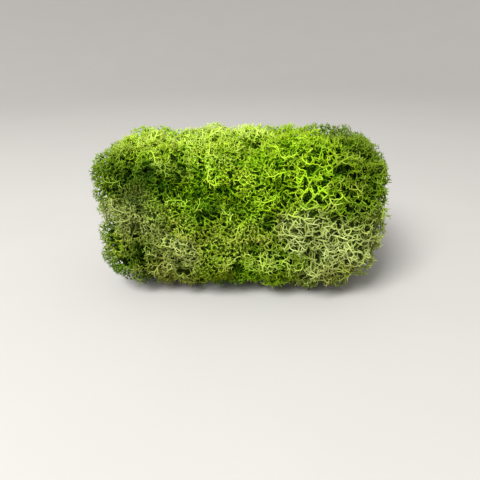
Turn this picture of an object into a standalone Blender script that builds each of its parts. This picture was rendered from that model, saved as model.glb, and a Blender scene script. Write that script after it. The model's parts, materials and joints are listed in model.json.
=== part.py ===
"""Reindeer moss clump: a loaf-shaped cushion of lichen tufts that lie pressed against each other.

Metres, +Z up. The origin is on the surface that the clump rests on, under its middle tuft.
+X runs along the clump, -Y is its front and +Y its back.

Each tuft is one closed solid. It has a core, which stands for its crowded lower branches,
and on every side of the core that faces outwards it has forked twigs with pointed tips.
A tuft keeps to its own cell, bounded by a plane against each neighbour, so no two tufts cross.
Within a tuft, each twig keeps to the cone over its own face of the core, so no two twigs cross.
"""

import math
import random

import bmesh
import bpy
import numpy as np
from mathutils import Vector

# The clump as a whole: half sizes of its rounded block, and how square it is along its length and in
# cross-section (2 is an ellipsoid).
HALF_WIDTH = 0.094
HALF_DEPTH = 0.052
HALF_HEIGHT = 0.0535
END_SQUARENESS = 6.0
SECTION_SQUARENESS = 3.0
# The underside is pressed flat where the clump rests: the rounded block is cut this far above its lowest
# point.
FLAT_CUT = 0.003
MIDDLE = Vector((0, 0, HALF_HEIGHT - FLAT_CUT))
# The furthest that any tip may reach.
REACH_X = 0.0935
REACH_Y = 0.053
REACH_TOP = 0.105

# A tuft: the radius of its head, as a share of its width, and the space between tufts.
HEAD_RADIUS_SHARE = 0.65
# Pressed together, the heads are less round than balls: their surface is drawn out this share of the way to
# the rounded block, where that is no further than the last number of radii from the root.
PRESSED_SHARE = 0.6
PRESSED_REACH = 1.4
TUFT_GAP = 0.0003
FLOOR_CLEARANCE = 0.0004

# The core, as a share of the way from the root to the tips.
CORE_SHARE = 0.47
# How many corners a core has on the side that faces outwards and on the inner side.
OUTER_CORNERS = 7
INNER_CORNERS = 9
# Where the head ends: the cosine, from the way it faces, past which a tuft has no twigs, and the one past
# which its core is as full as the neighbours leave room for.
OPEN_RISE = -0.15
FULL_RISE = -0.38
FILL_RADIUS = 0.040
BURIED_SHARE = 0.78
# A tuft that faces down this steeply rests on the floor, on a flat with this many corners, which lie
# this far round from straight down. No other corner of its core looks down more than the last angle.
PRESSED_FACING = -0.8
PRESSED_CORNERS = 5
PRESSED_ANGLE = math.radians(24)
PRESSED_CLEAR = math.radians(50)

# A twig: its heights are shares of the way from the core to the tips, and its radii are real sizes.
# Branches fork again, by this chance, on a twig that is longer than this, where its branches part by more
# than the angle with this cosine.
FORKED_TWIG = 0.0085
FORKED_COSINE = 0.15
FORKED_SHARE = 0.50
SHORTEST_TWIG = 0.0035
FOOT_HEIGHT = 0.16
FIRST_FORK = 0.40
SECOND_FORK = 0.70
LOWEST_TIP = 0.88
FOOT_RADIUS = 0.0018
STEM_RADIUS = 0.00115
BRANCH_RADIUS = 0.00085
FORK_RISE = 0.0011
TIP_SPREAD = 0.0036
# How far towards its corner of the face a branch leans, and the most that it does so.
BRANCH_SPREAD = 0.52
BRANCH_REACH = 0.0070
# How near to the edge of its face a twig may come, and the most of a narrow face that a ring may take up.
FACE_MARGIN = 0.93
ROOM_SHARE = 0.5

# Edges that turn more than this are shaded sharp.
SHARP_ANGLE = math.radians(60)

SEED = 7

# Colours of the preserved, dyed lichen, as linear RGB, with the roughness of its dry surface.
TINTS = {
    "lime": ((0.42, 0.60, 0.10), 0.78),
    "leaf": ((0.25, 0.46, 0.05), 0.80),
    "deep": ((0.10, 0.22, 0.03), 0.85),
    "pale": ((0.38, 0.50, 0.20), 0.80),
    "olive": ((0.22, 0.22, 0.08), 0.88),
}

# Tufts of the front and top: name, place along X and round the clump, width, tint.
# Round the clump, 0 degrees is the front, 90 the top, 180 the back and 270 the underside.
FRONT_TUFTS = (
    ("top_left", -61, 82, 35, "lime"),
    ("top_middle_left", -25, 86, 34, "lime"),
    ("top_middle", 7, 93, 29, "lime"),
    ("top_right", 38, 76, 37, "leaf"),
    ("top_far_right", 74, 74, 34, "deep"),
    ("upper_far_left", -80, 56, 32, "deep"),
    ("upper_left", -44, 46, 31, "deep"),
    ("upper_middle_left", -9, 48, 32, "leaf"),
    ("upper_middle", 22, 38, 32, "leaf"),
    ("upper_right", 54, 38, 33, "leaf"),
    ("upper_far_right", 82, 30, 31, "deep"),
    ("middle_far_left", -62, 14, 34, "pale"),
    ("middle_left", -25, 16, 33, "leaf"),
    ("middle", 6, 7, 32, "leaf"),
    ("lower_right", 46, 0, 38, "pale"),
    ("lower_far_right", 76, -11, 36, "pale"),
    ("lower_far_left", -76, -23, 33, "deep"),
    ("lower_left", -42, -26, 32, "pale"),
    ("lower_middle_left", -10, -27, 32, "leaf"),
    ("lower_middle", 22, -31, 32, "leaf"),
    ("lower_right_base", 54, -37, 34, "pale"),
)
# Tufts of the back and underside stand in even rows: name, place round the clump, width, then each tuft's
# place along X and its tint.
HIDDEN_ROWS = (
    ("top_back", 131, 41, ((-64, "leaf"), (-18, "lime"), (26, "leaf"), (68, "deep"))),
    ("back", 180, 40, ((-80, "pale"), (-40, "leaf"), (0, "lime"), (40, "leaf"), (80, "pale"))),
    ("under_back", 226, 41, ((-60, "olive"), (-20, "leaf"), (20, "olive"), (60, "deep"))),
    ("under", 275, 39, ((-42, "olive"), (0, "deep"), (42, "olive"))),
)
# Tufts of the two ends: name, place along X, depth from the front's middle line, height from the block's
# middle, width, tint.
END_TUFTS = (
    ("left_end_upper", -90, 4, 20, 35, "leaf"),
    ("left_end_lower", -90, 4, -26, 36, "deep"),
    ("right_end_upper", 90, 4, 16, 36, "deep"),
    ("right_end_lower", 90, 8, -27, 35, "deep"),
)
ROW_JITTER_MM = 3.0
ROW_JITTER_DEGREES = 5.0


def clear_scene():
    for old in list(bpy.data.objects):
        bpy.data.objects.remove(old, do_unlink=True)


def on_side(across, around):
    """Point on the rounded block, from the place along X and the angle round it."""
    left = 1 - abs(across / HALF_WIDTH) ** END_SQUARENESS
    depth, height = -math.cos(around), math.sin(around)
    share = abs(depth / HALF_DEPTH) ** SECTION_SQUARENESS + abs(height / HALF_HEIGHT) ** SECTION_SQUARENESS
    radius = left ** (1 / END_SQUARENESS) / share ** (1 / SECTION_SQUARENESS)
    return Vector((across, radius * depth, radius * height))


def on_end(across, depth, height):
    """Point on the rounded block, straight out from its middle through the given point."""
    through = Vector((across, depth, height))
    return through / block_share(through + MIDDLE)


def block_share(point):
    """How far out a point lies, as the scale at which the rounded block would pass through it."""
    x, y, z = np.array(point) - np.array(MIDDLE)
    share = abs(y / HALF_DEPTH) ** SECTION_SQUARENESS + abs(z / HALF_HEIGHT) ** SECTION_SQUARENESS
    share = share ** (END_SQUARENESS / SECTION_SQUARENESS) + abs(x / HALF_WIDTH) ** END_SQUARENESS
    return share ** (1 / END_SQUARENESS)


def outward(block):
    """Outward normal of the rounded block at a point on it."""
    taper = (1 - abs(block.x / HALF_WIDTH) ** END_SQUARENESS) ** (1 - SECTION_SQUARENESS / END_SQUARENESS)

    def slope(along, half, power):
        return math.copysign(abs(along / half) ** (power - 1) / half, along)

    return Vector((
        slope(block.x, HALF_WIDTH, END_SQUARENESS),
        slope(block.y, HALF_DEPTH, SECTION_SQUARENESS) * taper,
        slope(block.z, HALF_HEIGHT, SECTION_SQUARENESS) * taper,
    )).normalized()


def tuft_rows(draw):
    """Every tuft as (name, point on the rounded block, width, tint), in metres."""
    rows = list(FRONT_TUFTS)
    for row, around, width, places in HIDDEN_ROWS:
        for count, (across, tint) in enumerate(places, 1):
            shift = draw.uniform(-ROW_JITTER_MM, ROW_JITTER_MM)
            turn = draw.uniform(-ROW_JITTER_DEGREES, ROW_JITTER_DEGREES)
            rows.append((f"{row}_{count}", across + shift, around + turn, width, tint))
    tufts = [
        (f"tuft_{name}", on_side(across / 1000, math.radians(around)), width / 1000, tint)
        for name, across, around, width, tint in rows
    ]
    for name, across, depth, height, width, tint in END_TUFTS:
        block = on_end(across / 1000, depth / 1000, height / 1000)
        tufts.append((f"tuft_{name}", block, width / 1000, tint))
    return tufts


class Tuft:
    """One tuft: its root, the way it faces, the radius of its head and the planes of its cell."""

    def __init__(self, name, block, width, tint):
        self.name = name
        self.tint = tint
        self.width = width
        self.radius = HEAD_RADIUS_SHARE * width
        self.facing = outward(block)
        self.root = np.array(block + MIDDLE - self.facing * self.radius)
        self.pressed = self.facing.z < PRESSED_FACING
        self.normals = np.empty((0, 3))
        self.reaches = np.empty(0)

    def wall_off(self, tufts):
        """Sets a plane against each other tuft, nearer to the smaller of the two."""
        others = [other for other in tufts if other is not self]
        away = np.array([other.root for other in others]) - self.root
        far = np.linalg.norm(away, axis=1)
        swell = self.radius**2 - np.array([other.radius for other in others]) ** 2
        self.normals = away / far[:, None]
        self.reaches = (far**2 + swell) / (2 * far) - TUFT_GAP / 2
        if self.reaches.min() < 0.002:
            raise ValueError(f"{self.name} is crowded out by its neighbours")

    def reach(self, way, normals, reaches):
        """How far one may go from the root along way before it meets the first of the planes."""
        along = normals @ way
        ahead = along > 1e-6
        return float(np.min(reaches[ahead] / along[ahead], initial=1.0))

    def to_neighbour(self, way):
        return self.reach(way, self.normals, self.reaches)

    def to_floor(self, way):
        return self.root[2] / -way[2] if way[2] < -1e-6 else 1.0

    def to_limits(self, way):
        """How far along way the clump's own outer limits are."""
        normals = np.array([[1, 0, 0], [-1, 0, 0], [0, 1, 0], [0, -1, 0], [0, 0, 1]])
        x, y, z = self.root
        reaches = np.array([REACH_X - x, REACH_X + x, REACH_Y - y, REACH_Y + y, REACH_TOP - z])
        return self.reach(way, normals, reaches)

    def rise(self, way):
        """Cosine of the angle between way and the way the tuft faces."""
        return float(way @ np.array(self.facing))

    def to_buried(self, way):
        """How far along way one may go before it is no longer deep within the clump."""
        steps = np.arange(0, FILL_RADIUS, 0.0005)
        deep = [step for step in steps if block_share(self.root + way * step) < BURIED_SHARE]
        return max(deep, default=0.0)

    def rests(self, way):
        """True where the tuft is pressed flat on the floor."""
        return self.pressed and -way[2] > math.cos((PRESSED_ANGLE + PRESSED_CLEAR) / 2)

    def head(self, way):
        """The surface of the head along way: a ball, drawn out towards the rounded block."""
        near, far = self.radius, self.radius * PRESSED_REACH
        while far - near > 0.0001:
            half = (near + far) / 2
            if block_share(self.root + way * half) < 1:
                near = half
            else:
                far = half
        return self.radius + (near - self.radius) * PRESSED_SHARE

    def outer(self, way):
        """The furthest that a twig may go along way."""
        floor = self.to_floor(way) * (1 - FLOOR_CLEARANCE / self.root[2])
        return min(self.head(way), self.to_limits(way), self.to_neighbour(way), floor)

    def core(self, way):
        """The core's surface along way: sunk below the tips, but full towards the neighbours and floor."""
        if self.rests(way):
            return min(self.to_neighbour(way), self.to_floor(way))
        sunk = self.outer(way) * CORE_SHARE
        full = min(max((OPEN_RISE - self.rise(way)) / (OPEN_RISE - FULL_RISE), 0), 1)
        filled = max(sunk, self.to_buried(way))
        return min(sunk + (filled - sunk) * full, self.to_neighbour(way), self.to_floor(way))


def core_ways(tuft):
    """Directions of the core's corners, on a spiral that winds from the way the tuft faces to its back."""
    front = 1 - (1 - OPEN_RISE) * (np.arange(OUTER_CORNERS) + 0.5) / OUTER_CORNERS
    back = OPEN_RISE - (1 + OPEN_RISE) * (np.arange(INNER_CORNERS) + 0.5) / INNER_CORNERS
    ways = ring_of_ways(np.concatenate([front, back]), math.pi * (3 - math.sqrt(5)))
    ways = ways @ np.array(tuft.facing.to_track_quat("Z", "Y").to_matrix()).T
    if tuft.pressed:
        flat = ring_of_ways(np.full(PRESSED_CORNERS, math.cos(PRESSED_ANGLE)), math.tau / PRESSED_CORNERS)
        flat = np.vstack([flat, [(0, 0, 1)]]) * (1, 1, -1)
        ways = np.vstack([flat, ways[-ways[:, 2] < math.cos(PRESSED_CLEAR)]])
    return ways


def ring_of_ways(cosines, turn):
    """Directions at these cosines from straight up, each a turn further round than the last."""
    sines = np.sqrt(1 - cosines**2)
    turns = np.arange(len(cosines)) * turn
    return np.stack([sines * np.cos(turns), sines * np.sin(turns), cosines], axis=1)


class Twig:
    """A twig over one face of the core. Its points are given across that face and up from it.

    All places are measured from the tuft's root. The twig keeps to the cone from the root through the face.
    """

    def __init__(self, tuft, face, draw):
        self.tuft = tuft
        self.draw = draw
        self.corners = list(face.verts)
        corners = np.array([corner.co for corner in self.corners])
        self.middle = corners.mean(axis=0)
        self.near = np.linalg.norm(self.middle)
        self.length = tuft.outer(self.middle / self.near) - self.near
        self.to_corner = corners - self.middle
        self.toward = unit(self.to_corner)
        sides = np.roll(corners, -1, axis=0) - corners
        self.upright = unit(np.cross(sides[0], sides[1]))
        self.past_side = unit(np.cross(sides, self.upright))
        self.side_reach = (self.past_side * self.to_corner).sum(axis=1)
        closest = (self.toward * np.roll(self.toward, -1, axis=0)).sum(axis=1).max()
        self.may_fork = self.length > FORKED_TWIG and closest < FORKED_COSINE

    def swell(self, height):
        """How much wider the cone over the face is at this height than at the face."""
        return 1 + height * self.length / self.near

    def slim(self, size, height):
        """A size across the twig, as measured on the face, held down where the cone over it is narrow."""
        return min(size / self.swell(height), self.side_reach.min() * ROOM_SHARE)

    def wander(self, most):
        """A small random offset in the plane of the face."""
        turn = self.draw.uniform(0, math.tau)
        first = self.past_side[0]
        second = np.cross(self.upright, first)
        return most * self.draw.uniform(0.2, 1) * (math.cos(turn) * first + math.sin(turn) * second)

    def place(self, across, height):
        """The point at this offset from the face's middle and this share of the way up to the tips."""
        over = np.max(self.past_side @ across / self.side_reach) / FACE_MARGIN
        base = self.middle + across / max(1.0, over)
        near = np.linalg.norm(base)
        return base / near * (near + (self.tuft.outer(base / near) - near) * height)


def unit(ways):
    return ways / np.linalg.norm(ways, axis=-1, keepdims=True)


def raise_ring(body, face, corners, points):
    """Extrudes a three-sided face to a new ring of points; returns the new face and the ring's corners."""
    top = bmesh.ops.extrude_discrete_faces(body, faces=[face])["faces"][0]
    ring = []
    for corner, point in zip(corners, points):
        joined = [edge.other_vert(corner) for edge in corner.link_edges]
        copy = next(other for other in joined if other in top.verts)
        copy.co = point
        ring.append(copy)
    for j in range(3):
        after = corners[(j + 1) % 3]
        side = next(side for side in after.link_faces if ring[j] in side.verts)
        bmesh.utils.face_split(side, after, ring[j])
    return top, ring


def raise_point(body, face, point):
    """Pokes a face up to a point, and returns the point's corner."""
    peak = bmesh.ops.poke(body, faces=[face])["verts"][0]
    peak.co = point
    return peak


def grow_twig(body, face, twig):
    """Adds a twig to its face: a stem that forks in three; each branch of a long twig may fork again."""
    draw = twig.draw
    height = FIRST_FORK + draw.uniform(-0.05, 0.05)
    lean = twig.wander(0.0012)
    between = -np.roll(twig.toward, -2, axis=0)
    foot = [twig.place(twig.slim(FOOT_RADIUS, FOOT_HEIGHT) * side, FOOT_HEIGHT) for side in between]
    stem = [twig.place((lean + STEM_RADIUS * side) / twig.swell(height), height) for side in between]
    face, ring = raise_ring(body, face, twig.corners, foot)
    face, ring = raise_ring(body, face, ring, stem)
    fork = raise_point(body, face, twig.place(lean / twig.swell(height), height + FORK_RISE / twig.length))
    for k in range(3):
        start = [ring[(k + 2) % 3], ring[k], fork]
        lean_most = BRANCH_REACH / twig.swell(SECOND_FORK) / np.linalg.norm(twig.to_corner[k])
        axis = twig.to_corner[k] * min(BRANCH_SPREAD, lean_most) * draw.uniform(0.86, 1.12)
        if not twig.may_fork or draw.random() > FORKED_SHARE:
            raise_point(body, face_of(start), twig.place(axis * 1.2, draw.uniform(LOWEST_TIP, 1.0)))
        else:
            sides = [between[(k + 2) % 3], between[k], -twig.toward[k]]
            grow_branch(body, twig, start, axis + twig.wander(0.0008), sides)


def grow_branch(body, twig, start, axis, sides):
    """Extrudes a branch from the three corners where it starts, up to where it forks into three tips."""
    draw = twig.draw
    height = SECOND_FORK + draw.uniform(-0.06, 0.06)
    points = [twig.place(axis + twig.slim(BRANCH_RADIUS, height) * side, height) for side in sides]
    face, ring = raise_ring(body, face_of(start), start, points)
    fork = raise_point(body, face, twig.place(axis, height + FORK_RISE / twig.length))
    for j in range(3):
        leaning = unit(sides[j] + sides[(j + 1) % 3])
        height = draw.uniform(LOWEST_TIP, 1.0)
        spread = twig.slim(TIP_SPREAD, height) * draw.uniform(0.85, 1.0)
        tip = twig.place(axis + spread * leaning + twig.wander(0.0004), height)
        raise_point(body, face_of([ring[j], ring[(j + 1) % 3], fork]), tip)


def face_of(corners):
    """The face that has all three corners."""
    return next(face for face in corners[0].link_faces if all(corner in face.verts for corner in corners))


def tuft_body(tuft, draw):
    """A tuft's mesh, measured from its root: the core, with a twig on each face that looks outwards."""
    body = bmesh.new()
    corners = [body.verts.new(way) for way in core_ways(tuft)]
    bmesh.ops.convex_hull(body, input=corners)
    bmesh.ops.recalc_face_normals(body, faces=body.faces)
    on_floor = set()
    for corner in corners:
        way = unit(np.array(corner.co))
        corner.co = way * tuft.core(way)
        if tuft.rests(way) and tuft.to_floor(way) <= tuft.to_neighbour(way):
            corner.co.z = -tuft.root[2]
            on_floor.add(corner)
    for face in list(body.faces):
        twig = Twig(tuft, face, draw)
        hidden = tuft.rise(twig.middle / twig.near) < OPEN_RISE
        if not hidden and not on_floor.issuperset(face.verts) and twig.length > SHORTEST_TWIG:
            grow_twig(body, face, twig)
    return body


def tint_material(tint):
    """A dry, matt surface in one of the lichen's colours."""
    material = bpy.data.materials.get(f"lichen_{tint}")
    if material:
        return material
    colour, roughness = TINTS[tint]
    material = bpy.data.materials.new(f"lichen_{tint}")
    material.use_nodes = True
    shader = material.node_tree.nodes["Principled BSDF"]
    shader.inputs["Base Color"].default_value = (*colour, 1)
    shader.inputs["Roughness"].default_value = roughness
    shader.inputs["Metallic"].default_value = 0.0
    return material


def add_tuft(tuft, draw):
    mesh = bpy.data.meshes.new(tuft.name)
    body = tuft_body(tuft, draw)
    body.to_mesh(mesh)
    body.free()
    mesh.shade_smooth()
    mesh.set_sharp_from_angle(angle=SHARP_ANGLE)
    mesh.materials.append(tint_material(tuft.tint))
    made = bpy.data.objects.new(tuft.name, mesh)
    made.location = tuft.root
    bpy.context.scene.collection.objects.link(made)
    return made


def main():
    clear_scene()
    draw = random.Random(SEED)
    tufts = [Tuft(*row) for row in tuft_rows(draw)]
    for tuft in tufts:
        tuft.wall_off(tufts)
    clump = bpy.data.objects.new("moss_clump", None)
    bpy.context.scene.collection.objects.link(clump)
    for tuft in tufts:
        add_tuft(tuft, draw).parent = clump


if __name__ == "__main__":
    main()
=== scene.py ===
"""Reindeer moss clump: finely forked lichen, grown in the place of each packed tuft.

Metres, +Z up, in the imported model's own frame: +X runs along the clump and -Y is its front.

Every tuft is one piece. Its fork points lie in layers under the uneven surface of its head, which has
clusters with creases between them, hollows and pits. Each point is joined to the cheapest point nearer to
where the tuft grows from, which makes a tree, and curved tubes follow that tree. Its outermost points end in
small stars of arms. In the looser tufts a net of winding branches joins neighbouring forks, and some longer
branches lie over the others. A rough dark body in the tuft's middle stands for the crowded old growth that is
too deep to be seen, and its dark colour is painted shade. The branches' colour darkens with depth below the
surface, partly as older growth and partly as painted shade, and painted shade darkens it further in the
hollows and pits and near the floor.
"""

import json
import math
import random

import bpy
import numpy as np
from bpy.props import BoolProperty, FloatProperty, FloatVectorProperty, IntProperty, PointerProperty
from mathutils import Matrix, Vector


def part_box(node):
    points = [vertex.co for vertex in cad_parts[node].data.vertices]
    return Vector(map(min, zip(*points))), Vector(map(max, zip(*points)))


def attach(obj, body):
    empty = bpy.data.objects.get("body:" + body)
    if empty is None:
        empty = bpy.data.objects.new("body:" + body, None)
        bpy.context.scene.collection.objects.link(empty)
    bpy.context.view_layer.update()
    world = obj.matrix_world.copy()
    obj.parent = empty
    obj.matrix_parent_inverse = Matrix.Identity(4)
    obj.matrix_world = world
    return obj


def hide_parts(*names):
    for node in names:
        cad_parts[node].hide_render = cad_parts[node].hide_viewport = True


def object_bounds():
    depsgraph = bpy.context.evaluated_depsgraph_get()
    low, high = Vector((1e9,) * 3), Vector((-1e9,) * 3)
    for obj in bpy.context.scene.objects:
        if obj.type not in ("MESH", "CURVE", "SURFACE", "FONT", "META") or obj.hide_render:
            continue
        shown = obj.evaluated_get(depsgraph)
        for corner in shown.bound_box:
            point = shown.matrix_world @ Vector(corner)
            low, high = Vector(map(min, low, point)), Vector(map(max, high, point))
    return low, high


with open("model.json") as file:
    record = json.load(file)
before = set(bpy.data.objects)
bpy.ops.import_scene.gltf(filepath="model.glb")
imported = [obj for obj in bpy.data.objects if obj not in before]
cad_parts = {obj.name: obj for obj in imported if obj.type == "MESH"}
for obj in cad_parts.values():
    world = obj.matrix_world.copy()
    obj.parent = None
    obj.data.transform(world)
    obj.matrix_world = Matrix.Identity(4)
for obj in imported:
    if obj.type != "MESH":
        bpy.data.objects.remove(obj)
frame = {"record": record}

bl_info = {
    "name": "Reindeer Moss Clump",
    "version": (1, 0, 0),
    "blender": (4, 5, 0),
    "location": "View3D > Sidebar > Moss",
    "description": "Grows the finely forked tufts of a reindeer moss clump and builds its stage",
    "category": "Object",
}

CAD_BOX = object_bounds()
SLOTS = {entry["node"]: entry["material_slot"] for entry in frame["record"]["subparts"]}

# The rounded block that the tufts' heads fill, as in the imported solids: half sizes, how square it is along
# its length and in cross-section, and its middle.
HALF_SIZES = np.array([0.094, 0.052, 0.0535])
END_SQUARENESS = 6.0
SECTION_SQUARENESS = 3.0
MIDDLE = np.array([0, 0, 0.0505])
# The furthest that a head may reach along X and Y and upwards, then the same ways back, down to the floor.
REACH_X = 0.0935
REACH_Y = 0.053
REACH_TOP = 0.105
REACHES = np.array([REACH_X, REACH_Y, REACH_TOP, REACH_X, REACH_Y, 0])
# How far a head's surface lies from its root, as a share of its width.
HEAD_RADIUS_SHARE = 0.65
# How far that surface is drawn out from a ball towards the block, and the furthest in radii from the root.
PRESSED_SHARE = 0.6
PRESSED_REACH = 1.4
# How deep within the block, as a share of its size, the dark bodies leave no space between them.
BURIED_SHARE = 0.76
# Heads with a radius over this have their forks a little further apart, in m.
FINE_RADIUS = 0.0228
# A head ends where its surface looks this far back from the way the tuft faces, as a cosine.
OPEN_RISE = -0.75
# Forks deeper in the block than this share of its size would lie inside the dark bodies.
DEEPEST_SHARE = 0.70
# Branches that are deeper below a head's surface than this are hardly seen, so they are straight and plain.
SHALLOW = 0.006
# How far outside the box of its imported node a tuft's root may lie.
ROOT_MARGIN = 0.002
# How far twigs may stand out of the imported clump's box, as a share of its size, and how far above the floor
# the lowest twigs and forks are.
BOX_MARGIN_SHARE = 0.015
TWIG_FLOOR = 0.0001
FORK_FLOOR = 0.0006
# How long the branches are that start in the depth of the tuft and not at another fork.
STUB = 0.004
# A branch's radius to this power is the sum of its children's.
PIPE_POWER = 2.7
# The least distance between the twigs of a long branch.
TWIG_SPACING = 0.0024
# Along a long branch, each at these shares of its length: how far above the surface it is, its radius as a
# share of the given one, and its age with painted shade, which is darkest where it starts below the surface.
LONG_LIFTS = ((0, 0.2, 0.6, 1), (-0.0034, 0.0, 0.0006, 0.0))
LONG_RADII = ((0, 1), (1.1, 0.62))
LONG_AGES_AND_SHADE = ((0, 0.2, 1), (0.5, 0.16, 0.04))
# How uneven a long branch's path is: the size of the lumps that it goes round, and how far out they take it.
LONG_LUMP = 0.007
LONG_SHIFT = 0.0004
# The age and painted shade of the dark bodies, whose dark colour is painted shade of the deep inside.
# That of branches is 0 to 1.
BODY_AGE_AND_SHADE = 1.2
# The rings of a body and the points in each, its least radius, and its clearance from the cell's walls.
BODY_RINGS = 12
BODY_RING_POINTS = 26
BODY_LEAST = 0.002
BODY_CLEARANCE = 0.0003
# How far out a body's surface may be pushed in the depth of the clump, and in what steps that is looked for.
BODY_REACH = 0.045
BODY_STEP = 0.0006
# A body's roughness: the ball on which its lumps are laid out, by its radius, and their size and height.
BODY_BALL = 0.012
BODY_LUMP = 0.005
BODY_ROUGHNESS = 0.0009
# The reach of a way that meets no wall, which is more than any other.
NO_WALL = 1.0
# What a patch's colour weighs in its middle, where the weights of the tufts' own colours add up to 1, and the
# lowest and highest factor by which a tuft's colour may turn.
PATCH_WEIGHT = 3
TURN_RANGE = (0.12, 2.4)
# The smooth field that makes the edges of colours ragged: its lumps' size, and how far it shifts places.
DRIFT_LUMP = 0.016
DRIFT_SHIFT = 0.004

# Tufts of the front and top: place along X in mm, degrees round the clump, width in mm, habit.
# Round the clump, 0 degrees is the front, 90 the top, 180 the back and 270 the underside.
SIDE_TUFTS = {
    "top_left": (-61, 82, 35, "loose"),
    "top_middle_left": (-25, 86, 34, "loose"),
    "top_middle": (7, 93, 29, "loose"),
    "top_right": (38, 76, 37, "bushy"),
    "top_far_right": (74, 74, 34, "bushy"),
    "upper_far_left": (-80, 56, 32, "bushy"),
    "upper_left": (-44, 46, 31, "bushy"),
    "upper_middle_left": (-9, 48, 32, "bushy"),
    "upper_middle": (22, 38, 32, "bushy"),
    "upper_right": (54, 38, 33, "open"),
    "upper_far_right": (82, 30, 31, "loose"),
    "middle_far_left": (-62, 14, 34, "bushy"),
    "middle_left": (-25, 16, 33, "bushy"),
    "middle": (6, 7, 32, "bushy"),
    "lower_right": (46, 0, 38, "open"),
    "lower_far_right": (76, -11, 36, "open"),
    "lower_far_left": (-76, -23, 33, "bushy"),
    "lower_left": (-42, -26, 32, "loose"),
    "lower_middle_left": (-10, -27, 32, "bushy"),
    "lower_middle": (22, -31, 32, "loose"),
    "lower_right_base": (54, -37, 34, "open"),
}
# Rows of the back and underside: degrees round the clump, places along X, width, habit.
ROWS = {
    "top_back": (131, (-64, -18, 26, 68), 41, "bushy"),
    "back": (180, (-80, -40, 0, 40, 80), 40, "bushy"),
    "under_back": (226, (-60, -20, 20, 60), 41, "bushy"),
    "under": (275, (-42, 0, 42), 39, "loose"),
}
# Tufts of the ends: place along X, depth and height from the block's middle, width, habit.
END_TUFTS = {
    "left_end_upper": (-90, 4, 20, 35, "bushy"),
    "left_end_lower": (-90, 4, -26, 36, "bushy"),
    "right_end_upper": (90, 4, 16, 36, "bushy"),
    "right_end_lower": (90, 8, -27, 35, "loose"),
}
# Hollows of the front that the photo shows: place along X in mm, degrees round the clump, radius and depth
# in mm. A depth below 0 is a swelling.
# Through Hollow Shade a hollow's depth also darkens the colour of its growth, as painted shade, and a
# swelling lightens it, as painted light.
HOLLOWS = (
    (-54, 44, 11, 5), (-66, 35, 6, 3), (-57, 24, 6, 5), (-32, 28, 7, 7), (-19, 27, 6, 7),
    (-13, 38, 4, 5), (-10, 15, 4, 5), (-18, 6, 4, 4), (27, 34, 5, 5), (57, 25, 5, 5), (63, 16, 5, 4),
    (12, 56, 4, 6), (10, 68, 4, 7), (-1, -23, 5, 4), (-54, -20, 9, 8), (37, -28, 5, 5), (66, 41, 8, 3),
    (44, -12, 4, 5), (-60, 33, 17, 3), (-16, 20, 11, 3), (3, 19, 9, 3), (78, 36, 10, 3),
    (-48, -28, 8, 5), (4, 36, 10, -2), (-33, -3, 10, -1.5), (10, -4, 10, -1.5),
)
# Patches of the front whose colour turns to that of another slot, by the slot whose colour each is: place
# along X in mm, degrees round the clump and radius in mm. The deep and olive patches are painted shade in
# hollows and low down, the lime patches make places lighter, and the pale patches paint the whitish haze of
# a clear film in front, which looks the same as pale growth.
PATCHES = {
    "lime_lichen": (
        (-58, 62, 10), (-42, 60, 11), (-24, 60, 12), (-6, 64, 11), (-45, -2, 9), (-28, -2, 8),
        (-12, -3, 8), (4, -2, 9),
    ),
    "leaf_lichen": (
        (-46, 20, 8), (67, 27, 7), (5, 37, 11),
    ),
    "deep_lichen": (
        (68, 42, 10), (-19, 22, 8), (2, 18, 7), (-42, 37, 9), (14, -34, 9), (27, -24, 9),
    ),
    "pale_lichen": (
        (-40, -4, 13), (-20, -3, 13), (3, -3, 11), (-72, 2, 10), (-14, -4, 9), (14, -8, 8),
        (-29, -14, 10), (-8, -13, 10), (24, -12, 9), (-48, 2, 9), (-67, -10, 10),
    ),
    "olive_lichen": (
        (67, 36, 8), (-66, 28, 7), (-44, -36, 12), (-24, -40, 10), (-8, -34, 10), (30, -36, 10),
        (60, -36, 10), (-52, -27, 10),
    ),
}
# Long branches of the front that lie over the others: radius in mm, then places along X in mm and degrees
# round the clump.
LONG_BRANCHES = (
    (0.60, (-10, 44), (-15, 43), (-16, 40), (-17, 36), (-15, 33), (-13, 32)),
    (0.45, (-16, 39), (-19, 36), (-20, 31)),
    (0.55, (24, 21), (29, 18), (33, 16), (38, 15), (42, 11), (48, 10)),
    (0.55, (49, 30), (53, 28), (55, 24), (56, 21), (60, 17), (62, 14)),
    (0.55, (51, 9), (55, 5), (59, 2), (61, -1)),
    (0.60, (47, -2), (52, -2), (56, -3), (61, -2), (69, -3)),
    (0.55, (53, -3), (55, -9), (56, -13), (58, -19)),
    (0.55, (61, -5), (66, -5), (69, -10), (72, -16)),
    (0.45, (58, -5), (61, -10), (66, -13)),
    (0.50, (41, -27), (48, -28), (54, -27), (61, -25)),
    (0.45, (43, -16), (45, -22), (46, -28)),
    (0.45, (50, -15), (53, -21), (54, -28)),
    (0.45, (56, -14), (59, -20), (60, -26)),
    (0.50, (28, -4), (32, -1), (36, -3), (40, -8)),
    (0.45, (28, -17), (33, -20), (37, -26)),
    (0.45, (33, 15), (34, 10), (38, 5)),
    (0.50, (18, 70), (21, 63), (25, 59), (29, 56), (34, 55), (38, 56)),
    (0.45, (-3, 60), (2, 60), (7, 64)),
    (0.45, (66, 29), (63, 26), (61, 21), (58, 18)),
    (0.50, (16, -33), (16, -25), (13, -18), (10, -13)),
    (0.45, (17, -33), (19, -24), (22, -18)),
    (0.45, (14, -33), (10, -26), (5, -22)),
    (0.50, (-56, 65), (-51, 60), (-48, 52), (-45, 47)),
)
# The tufts of the rows are shifted at random, by up to this much along X and round the clump.
ROW_SEED = 7
ROW_JITTER_MM = 3.0
ROW_JITTER_DEGREES = 5.0

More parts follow.
